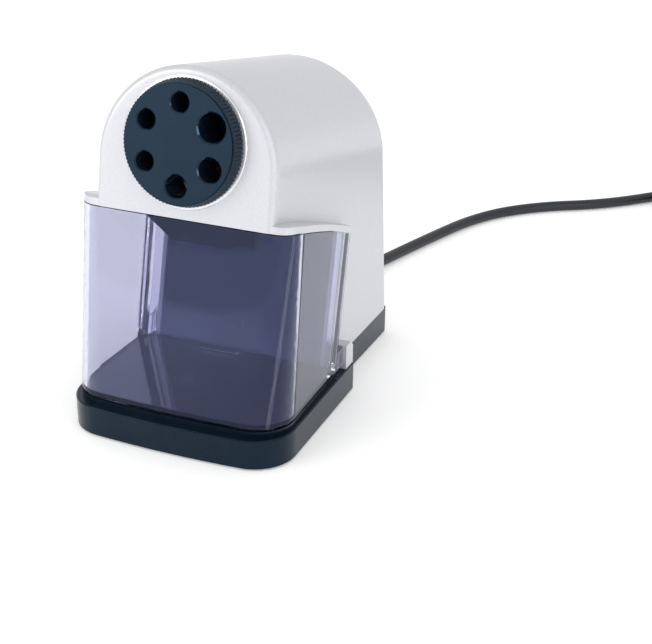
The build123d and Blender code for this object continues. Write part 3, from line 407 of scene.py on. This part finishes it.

# %% [markdown]
# ## Black moulded plastics
#
# Base, dial and inner frame are ABS coloured black in the mass.  The base is smooth enough to
# mirror the table softly; the dial is finer and duller; the frame is spark eroded, which leaves a
# grain of about 0.4 mm.  Fingers and dust change the gloss from place to place, so roughness
# follows a slow noise and the grain is a bump.  The base and the dial are also given a blue-black
# colour and a blue tint on what they mirror: that blue is a painted reflection.

# %% Mould the blacks
def moulded(name, colour, worn, roughness, grain_mm, grain_depth, patch_mm=18.0, specular=0.5,
            painted_reflection_tint="#ffffff"):
    """Grain is a fine noise bump.  Patches of handling move the colour and roughness slightly, and
    the painted reflection tint colours what the surface mirrors when it is seen straight on."""
    material, tree, place = new_material(name)
    patches = add(tree, "ShaderNodeTexNoise", {"Vector": place, "Scale": per_metre(patch_mm), "Detail": 4.0,
                                               "Roughness": 0.6})
    tint = add(tree, "ShaderNodeValToRGB", {"Fac": patches.outputs["Fac"]})
    tint.color_ramp.elements[0].position = 0.35
    tint.color_ramp.elements[0].color = to_linear(colour)
    tint.color_ramp.elements[1].position = 0.75
    tint.color_ramp.elements[1].color = to_linear(worn)
    rough = add(tree, "ShaderNodeMapRange", {
        "Value": patches.outputs["Fac"], "From Min": 0.3, "From Max": 0.7,
        "To Min": roughness - 0.04, "To Max": roughness + 0.05})
    grain = add(tree, "ShaderNodeTexNoise", {"Vector": place, "Scale": per_metre(grain_mm), "Detail": 2.0})
    bump = add(tree, "ShaderNodeBump", {
        "Height": grain.outputs["Fac"], "Distance": grain_depth, "Strength": 0.6})
    output(tree, add(tree, "ShaderNodeBsdfPrincipled", {
        "Base Color": tint.outputs["Color"], "Roughness": rough.outputs["Result"],
        "Specular IOR Level": specular, "Specular Tint": to_linear(painted_reflection_tint), "IOR": 1.53,
        "Normal": bump.outputs["Normal"]}))
    return material


# Painted reflection: a blue tint on what the base and the dial mirror, with blue-black colours to match.
PAINTED_BLUE_REFLECTION = "#9fc0e0"
base_black = moulded("satin_black_abs", "#06121c", "#0c1924", 0.2, 0.9, 0.000006,
                     specular=0.35, painted_reflection_tint=PAINTED_BLUE_REFLECTION)
dial_black = moulded("fine_satin_dial_abs", "#0e1b28", "#142331", 0.36, 0.35, 0.000005,
                     specular=0.4, painted_reflection_tint=PAINTED_BLUE_REFLECTION)
print("blacks:", base_black.name, dial_black.name)

# %% [markdown]
# ## Holes polished by pencils
#
# The dial's face is satin, but its six holes are moulded round polished pins, and pencils keep
# them shiny.  The material finds the holes by where a point is and which way it faces, and only
# its roughness changes there.

# %% Polish the dial's holes
DIAL_MIDDLE = (0.0, -0.0501, 0.1326)
DIAL_AXIS = (0.0, -0.985019, 0.172445)
HOLES_REACH = 0.0238
FACES_AHEAD = 0.9
HOLE_ROUGHNESS = 0.07


def polish_holes(material, gloss):
    """A point is on a hole's wall where it is nearer to the dial's axis than the knurls are and
    its normal leans well away from that axis.  Its distance to the axis is the length of the cross
    product of the axis and the way from the dial's middle."""
    tree = material.node_tree
    place = add(tree, "ShaderNodeTexCoord")
    from_middle = add(tree, "ShaderNodeVectorMath", {0: place.outputs["Object"], 1: DIAL_MIDDLE},
                      operation="SUBTRACT")
    crossed = add(tree, "ShaderNodeVectorMath", {0: from_middle.outputs["Vector"], 1: DIAL_AXIS},
                  operation="CROSS_PRODUCT")
    distance = add(tree, "ShaderNodeVectorMath", {0: crossed.outputs["Vector"]}, operation="LENGTH")
    inner = add(tree, "ShaderNodeMath", {0: distance.outputs["Value"], 1: HOLES_REACH},
                operation="LESS_THAN")
    facing = add(tree, "ShaderNodeVectorMath", {0: place.outputs["Normal"], 1: DIAL_AXIS},
                 operation="DOT_PRODUCT")
    away = add(tree, "ShaderNodeMath", {0: facing.outputs["Value"]}, operation="ABSOLUTE")
    wall = add(tree, "ShaderNodeMath", {0: away.outputs["Value"], 1: FACES_AHEAD}, operation="LESS_THAN")
    mask = add(tree, "ShaderNodeMath", {0: inner.outputs["Value"], 1: wall.outputs["Value"]},
               operation="MULTIPLY")
    shader = next(node for node in tree.nodes if node.type == "BSDF_PRINCIPLED")
    satin = shader.inputs["Roughness"].links[0].from_socket
    blend = add(tree, "ShaderNodeMix", {"Factor": mask.outputs["Value"], "A": satin, "B": gloss},
                data_type="FLOAT")
    tree.links.new(blend.outputs["Result"], shader.inputs["Roughness"])


polish_holes(dial_black, HOLE_ROUGHNESS)
print("polished holes in", dial_black.name)

# %% [markdown]
# ## The other moulded parts
#
# The same function serves the inner frame, the wall behind the drawer, the feet, the lead and the
# small electric parts.  Only their colours, their gloss and the size of their grain differ.

# %% Mould the inner frame, the feet and the small parts
frame_black = moulded("grained_black_abs", "#0b0e18", "#101420", 0.5, 0.4, 0.00002, specular=0.25)
wall_black = moulded("grained_bulkhead_abs", "#0e1226", "#161c34", 0.5, 0.5, 0.000001, specular=0.2)
foot_rubber = moulded("moulded_foot_rubber", "#111111", "#1c1c1c", 0.8, 0.3, 0.00002)
nylon = moulded("moulded_acetal", "#d9d8cf", "#c9c8be", 0.42, 0.5, 0.000006, specular=0.4)
lead_pvc = moulded("extruded_pvc_cable", "#0c1119", "#151c26", 0.38, 1.2, 0.00001, patch_mm=9.0)
sleeve_pvc = moulded("moulded_pvc_sleeve", "#0d1118", "#171d26", 0.48, 0.5, 0.00001)
relay_case = moulded("moulded_relay_case", "#1c3a6b", "#26477c", 0.35, 0.5, 0.000005)
capacitor_sleeve = moulded("shrunk_capacitor_sleeve", "#182a3a", "#22384a", 0.3, 0.6, 0.000004)
terminal_green = moulded("moulded_terminal_nylon", "#2f7d4f", "#3b8a5b", 0.45, 0.5, 0.000006)
print("materials so far:", len(bpy.data.materials))

# %% [markdown]
# ## Smoked clear styrene
#
# The drawer is clear styrene with a violet-grey dye, moulded in a polished tool.  Light goes
# through it, and a wall takes more of the red and the green than of the blue.  The shader's
# transmission does that, with the dye as its colour.  What it mirrors is set weaker and bluer than
# bare styrene would give.  Rubbed patches and a slow waviness from moulding break up its mirror.
#
# A round corner of clear plastic draws a pale double line where it mirrors the light.  Here that line is a
# painted highlight: a little of the transmission is taken away on two narrow streaks, so the pale
# base colour shows there, and the streaks stay in place on the plastic.

# %% Cast the drawer's plastic
# The streak values place and size the painted corner highlight on the drawer.
STREAK_FROM = 0.575
STREAK_LEAN = 2.1
STREAK_APART = 0.022
STREAK_HALF = 0.02
PAINTED_HIGHLIGHT_STRENGTH = 0.12
CORNERS_BEHIND = -0.045
# The dye colour is also the colour of the painted corner highlight.
DYE_AND_HIGHLIGHT_COLOUR = "#dcddec"
MIRROR_TINT = "#a8b4e6"
MIRROR_LEVEL = 0.13
WAVE_MM = 22.0
RUB_MM = 7.0


def painted_corner_highlight(tree, place):
    """A mask for the painted corner highlight: 1 on two narrow leaning streaks up each front corner,
    0 elsewhere.  On a round corner the normal's x grows with the angle, so they lie STREAK_APART either
    side of the line where abs(nx) = STREAK_FROM + STREAK_LEAN * z."""
    faces = add(tree, "ShaderNodeTexCoord")
    normal = add(tree, "ShaderNodeSeparateXYZ", {"Vector": faces.outputs["Normal"]})
    point = add(tree, "ShaderNodeSeparateXYZ", {"Vector": place})
    across = add(tree, "ShaderNodeMath", {0: normal.outputs["X"]}, operation="ABSOLUTE")
    middle = add(tree, "ShaderNodeMath", {0: point.outputs["Z"], 1: STREAK_LEAN, 2: STREAK_FROM},
                 operation="MULTIPLY_ADD")
    off = add(tree, "ShaderNodeMath", {0: across.outputs["Value"], 1: middle.outputs["Value"]},
              operation="SUBTRACT")
    far = add(tree, "ShaderNodeMath", {0: off.outputs["Value"]}, operation="ABSOLUTE")
    aside = add(tree, "ShaderNodeMath", {0: far.outputs["Value"], 1: STREAK_APART}, operation="SUBTRACT")
    near = add(tree, "ShaderNodeMath", {0: aside.outputs["Value"]}, operation="ABSOLUTE")
    soft = add(tree, "ShaderNodeMapRange", {
        "Value": near.outputs["Value"], "From Min": 0.0, "From Max": STREAK_HALF,
        "To Min": 1.0, "To Max": 0.0}, interpolation_type="SMOOTHSTEP")
    front = add(tree, "ShaderNodeMath", {0: point.outputs["Y"], 1: CORNERS_BEHIND}, operation="LESS_THAN")
    outer = add(tree, "ShaderNodeMath", {0: normal.outputs["Y"], 1: 0.0}, operation="LESS_THAN")
    both = add(tree, "ShaderNodeMath", {0: front.outputs["Value"], 1: outer.outputs["Value"]},
               operation="MULTIPLY")
    return add(tree, "ShaderNodeMath", {0: soft.outputs["Result"], 1: both.outputs["Value"]},
               operation="MULTIPLY")


def smoked_clear(name, dye_and_highlight_colour, roughness):
    """Transmission with styrene's IOR, full except on the corner streaks, where it is lowered so that the
    pale base colour paints a highlight there.  The wall's slow waves are a very low bump, and rubbed
    patches raise its roughness a little."""
    material, tree, place = new_material(name)
    # The corner streaks are a painted highlight: there the transmission drops and the pale base colour shows.
    painted_highlight_mask = painted_corner_highlight(tree, place)
    clear = add(tree, "ShaderNodeMapRange", {
        "Value": painted_highlight_mask.outputs["Value"], "From Min": 0.0, "From Max": 1.0,
        "To Min": 1.0, "To Max": 1.0 - PAINTED_HIGHLIGHT_STRENGTH})
    waves = add(tree, "ShaderNodeTexNoise", {"Vector": place, "Scale": per_metre(WAVE_MM), "Detail": 2.0})
    bump = add(tree, "ShaderNodeBump", {"Height": waves.outputs["Fac"], "Distance": 0.0002, "Strength": 0.15})
    rubs = add(tree, "ShaderNodeTexNoise", {"Vector": place, "Scale": per_metre(RUB_MM), "Detail": 6.0,
                                            "Roughness": 0.7})
    rough = add(tree, "ShaderNodeMapRange", {"Value": rubs.outputs["Fac"], "From Min": 0.45, "From Max": 0.8,
                                             "To Min": roughness, "To Max": roughness + 0.08})
    output(tree, add(tree, "ShaderNodeBsdfPrincipled", {
        "Base Color": to_linear(dye_and_highlight_colour), "Roughness": rough.outputs["Result"], "IOR": 1.59,
        "Specular IOR Level": MIRROR_LEVEL, "Specular Tint": to_linear(MIRROR_TINT),
        "Transmission Weight": clear.outputs["Result"], "Normal": bump.outputs["Normal"]}))
    return material


smoke = smoked_clear("smoked_clear_styrene", DYE_AND_HIGHLIGHT_COLOUR, 0.02)
print("clear plastic:", smoke.name)

# %% [markdown]
# ## Metals
#
# Shafts and cutter are turned or ground steel, whose marks run round the part; screws and motor
# can are zinc plated; bushes are sintered bronze, which is porous; and the pins of the plug are
# nickel plated.  All are pure metal in the shader.  Stretched noise makes turning and rolling
# marks, and an even noise makes pores and plating spangle.

# %% Plate and turn the metals
def metal(name, colour, dull, roughness, mark_mm, stretch, depth):
    """Noise squeezed along one axis by the stretch gives marks of that width.  It moves the
    colour between the bright and the dull one, and the roughness with it."""
    material, tree, place = new_material(name)
    squeezed = add(tree, "ShaderNodeMapping", {"Vector": place, "Scale": stretch})
    marks = add(tree, "ShaderNodeTexNoise", {
        "Vector": squeezed.outputs["Vector"], "Scale": per_metre(mark_mm), "Detail": 5.0,
        "Roughness": 0.65})
    tint = add(tree, "ShaderNodeValToRGB", {"Fac": marks.outputs["Fac"]})
    tint.color_ramp.elements[0].position = 0.3
    tint.color_ramp.elements[0].color = to_linear(dull)
    tint.color_ramp.elements[1].position = 0.7
    tint.color_ramp.elements[1].color = to_linear(colour)
    rough = add(tree, "ShaderNodeMapRange", {"Value": marks.outputs["Fac"], "From Min": 0.3, "From Max": 0.7,
                                             "To Min": roughness + 0.08, "To Max": roughness - 0.04})
    bump = add(tree, "ShaderNodeBump", {"Height": marks.outputs["Fac"], "Distance": depth, "Strength": 0.5})
    output(tree, add(tree, "ShaderNodeBsdfPrincipled", {
        "Base Color": tint.outputs["Color"], "Metallic": 1.0, "Roughness": rough.outputs["Result"],
        "Normal": bump.outputs["Normal"]}))
    return material


EVEN = (1.0, 1.0, 1.0)
ALONG_Y = (1.0, 0.05, 1.0)
ACROSS_Y = (0.08, 1.0, 0.08)
turned_steel = metal("turned_steel", "#c6c8ca", "#9fa2a6", 0.24, 0.25, ACROSS_Y, 0.000003)
ground_steel = metal("ground_cutter_steel", "#b6b9bc", "#84888c", 0.3, 0.2, ALONG_Y, 0.000003)
zinc_plate = metal("zinc_plated_steel", "#d2d6da", "#aab0b6", 0.3, 1.6, EVEN, 0.000002)
rolled_sheet = metal("rolled_steel_sheet", "#bcc0c4", "#989ca1", 0.34, 0.3, ALONG_Y, 0.000003)
laminations = metal("stacked_laminations", "#8f9296", "#5f6266", 0.42, 0.5, ACROSS_Y, 0.00002)
porous_bronze = metal("sintered_bronze", "#b58f56", "#8a6636", 0.42, 0.3, EVEN, 0.00001)
nickel_plate = metal("nickel_plated_brass", "#dcd9cf", "#c2beb2", 0.14, 0.6, EVEN, 0.000001)
print("materials so far:", len(bpy.data.materials))

# %% [markdown]
# ## The circuit board
#
# The board is glass-fibre laminate under a green lacquer, with copper tracks that show through
# it as lighter lines.  A brick pattern, very long bricks 1.3 mm high, makes even tracks.

# %% Lacquer the board
TRACK_HEIGHT = 0.00003


def lacquered_board(name, lacquer, copper, track_mm):
    """Brick rows give the tracks; the mortar between them is the bare lacquer."""
    material, tree, place = new_material(name)
    upright_board = add(tree, "ShaderNodeMapping", {"Vector": place, "Rotation": (radians(90), 0, 0)})
    tracks = add(tree, "ShaderNodeTexBrick", {
        "Vector": upright_board.outputs["Vector"], "Color1": to_linear(copper), "Color2": to_linear(copper),
        "Mortar": to_linear(lacquer), "Scale": per_metre(track_mm), "Mortar Size": 0.28,
        "Brick Width": 9.0, "Row Height": 1.0})
    bump = add(tree, "ShaderNodeBump", {
        "Height": tracks.outputs["Fac"], "Distance": TRACK_HEIGHT, "Strength": 0.5}, invert=True)
    output(tree, add(tree, "ShaderNodeBsdfPrincipled", {
        "Base Color": tracks.outputs["Color"], "Roughness": 0.25, "Normal": bump.outputs["Normal"]}))
    return material


board_green = lacquered_board("lacquered_laminate", "#0f4a2a", "#2c7a4a", 1.3)
print("board:", board_green.name)

# %% [markdown]
# ## Which finish goes on which piece
#
# Each piece from the frame gets one material, by name.  A piece with none would stand out at
# once, so the cell counts them.

# %% Put the finishes on
FINISHES = {
    pearl_paint: ("housing_shell",),
    trim_paint: ("dial_bezel",),
    base_black: ("base_tray",),
    smoke: ("shavings_drawer",),
    dial_black: ("selector_dial",),
    wall_black: ("bulkhead", "front_plate"),
    frame_black: ("gear_plate", "frame_pillar_left", "frame_pillar_right", "frame_pillar_top",
                  "start_switch", "interlock_switch", "interlock_plunger", "motor_end_cap", "start_lever"),
    foot_rubber: ("foot_front_left", "foot_front_right", "foot_rear_left", "foot_rear_right"),
    nylon: ("dial_spindle", "cutter_carrier", "carrier_gear", "idler_gear", "motor_pinion", "motor_fan",
            "start_switch_button"),
    turned_steel: ("cutter_shaft", "cutter_pinion", "carrier_journal", "idler_axle", "motor_shaft",
                   "start_lever_pin", "ring_gear"),
    ground_steel: ("helical_cutter",),
    zinc_plate: ("base_screws", "frame_screws", "motor_screws"),
    rolled_sheet: ("motor_can",),
    laminations: ("motor_stator", "motor_rotor"),
    porous_bronze: ("front_bush", "rear_bush"),
    board_green: ("circuit_board",),
    relay_case: ("board_relay",),
    capacitor_sleeve: ("board_capacitor",),
    terminal_green: ("terminal_block",),
    lead_pvc: ("power_cord", "cord_coil", "plug_body"),
    sleeve_pvc: ("strain_relief",),
    nickel_plate: ("plug_pins",),
}
finished = set()
for material, names in FINISHES.items():
    for name in names:
        nodes[name].data.materials.clear()
        nodes[name].data.materials.append(material)
        finished.add(name)
for piece, material in ((lead, lead_pvc), (relief, sleeve_pvc), (plug, lead_pvc)):
    piece.data.materials.append(material)
print("finished", len(finished), "of", len(nodes), "left over:", sorted(set(nodes) - finished))

# %% [markdown]
# ## Table, backdrop and light
#
# An even white surrounds the object, as on a page of a catalogue, and hardly any shadow is left.
# A wide white floor under a white sky does most of it.  A soft panel at the upper left makes the
# front brighter than the side, and two narrow strips at the right add fine highlights.

# %% Lay the floor
FLOOR_REACH = 30.0
MOTTLE_MM = 120.0
FLOOR_GLOW = 0.22

floor_mesh = bpy.data.meshes.new("studio_floor")
corners = [(-FLOOR_REACH, -FLOOR_REACH, 0), (FLOOR_REACH, -FLOOR_REACH, 0),
           (FLOOR_REACH, FLOOR_REACH, 0), (-FLOOR_REACH, FLOOR_REACH, 0)]
floor_mesh.from_pydata(corners, [], [(0, 1, 2, 3)])
floor = bpy.data.objects.new("studio_floor", floor_mesh)
scene.collection.objects.link(floor)
floor_paint, tree, place = new_material("matt_white_floor")
mottle = add(tree, "ShaderNodeTexNoise", {"Vector": place, "Scale": per_metre(MOTTLE_MM), "Detail": 3.0})
white = add(tree, "ShaderNodeValToRGB", {"Fac": mottle.outputs["Fac"]})
white.color_ramp.elements[0].color = to_linear("#f6f6f6")
white.color_ramp.elements[1].color = to_linear("#fafafa")
output(tree, add(tree, "ShaderNodeBsdfPrincipled", {
    "Base Color": white.outputs["Color"], "Roughness": 0.9, "Specular IOR Level": 0.2,
    "Emission Color": to_linear("#ffffff"), "Emission Strength": FLOOR_GLOW}))
floor_mesh.materials.append(floor_paint)
print("floor reaches", FLOOR_REACH, "m each way")

# %% [markdown]
# ## Sky and panels
#
# The sky is one even white.  Each panel is placed by where it hangs and what it faces, with its
# size in metres and its power in watts.

# %% Hang the lights
SKY_STRENGTH = 0.9
MIDDLE = (0.0, 0.0, 0.08)

scene.view_settings.view_transform = "Standard"
scene.view_settings.look = "None"
sky = bpy.data.worlds.new("white_sky")
scene.world = sky
sky.use_nodes = True
sky.node_tree.nodes["Background"].inputs["Color"].default_value = to_linear("#ffffff")
sky.node_tree.nodes["Background"].inputs["Strength"].default_value = SKY_STRENGTH


def soft_panel(name, at, towards, size, watts):
    """A rectangular light that faces a point, with its local -Z turned that way."""
    data = bpy.data.lights.new(name, "AREA")
    data.shape = "RECTANGLE"
    data.size, data.size_y = size
    data.energy = watts
    panel = bpy.data.objects.new(name, data)
    way = Vector(towards) - Vector(at)
    panel.matrix_world = Matrix.Translation(at) @ way.to_track_quat("-Z", "Y").to_matrix().to_4x4()
    scene.collection.objects.link(panel)


soft_panel("key_panel", (-0.8, -1.0, 0.6), MIDDLE, (0.9, 0.9), 5.6)
soft_panel("edge_strip", (1.32, -0.70, 0.55), MIDDLE, (0.05, 1.3), 2.2)
soft_panel("corner_strip", (0.86, -1.23, 0.55), MIDDLE, (0.07, 1.3), 1.6)
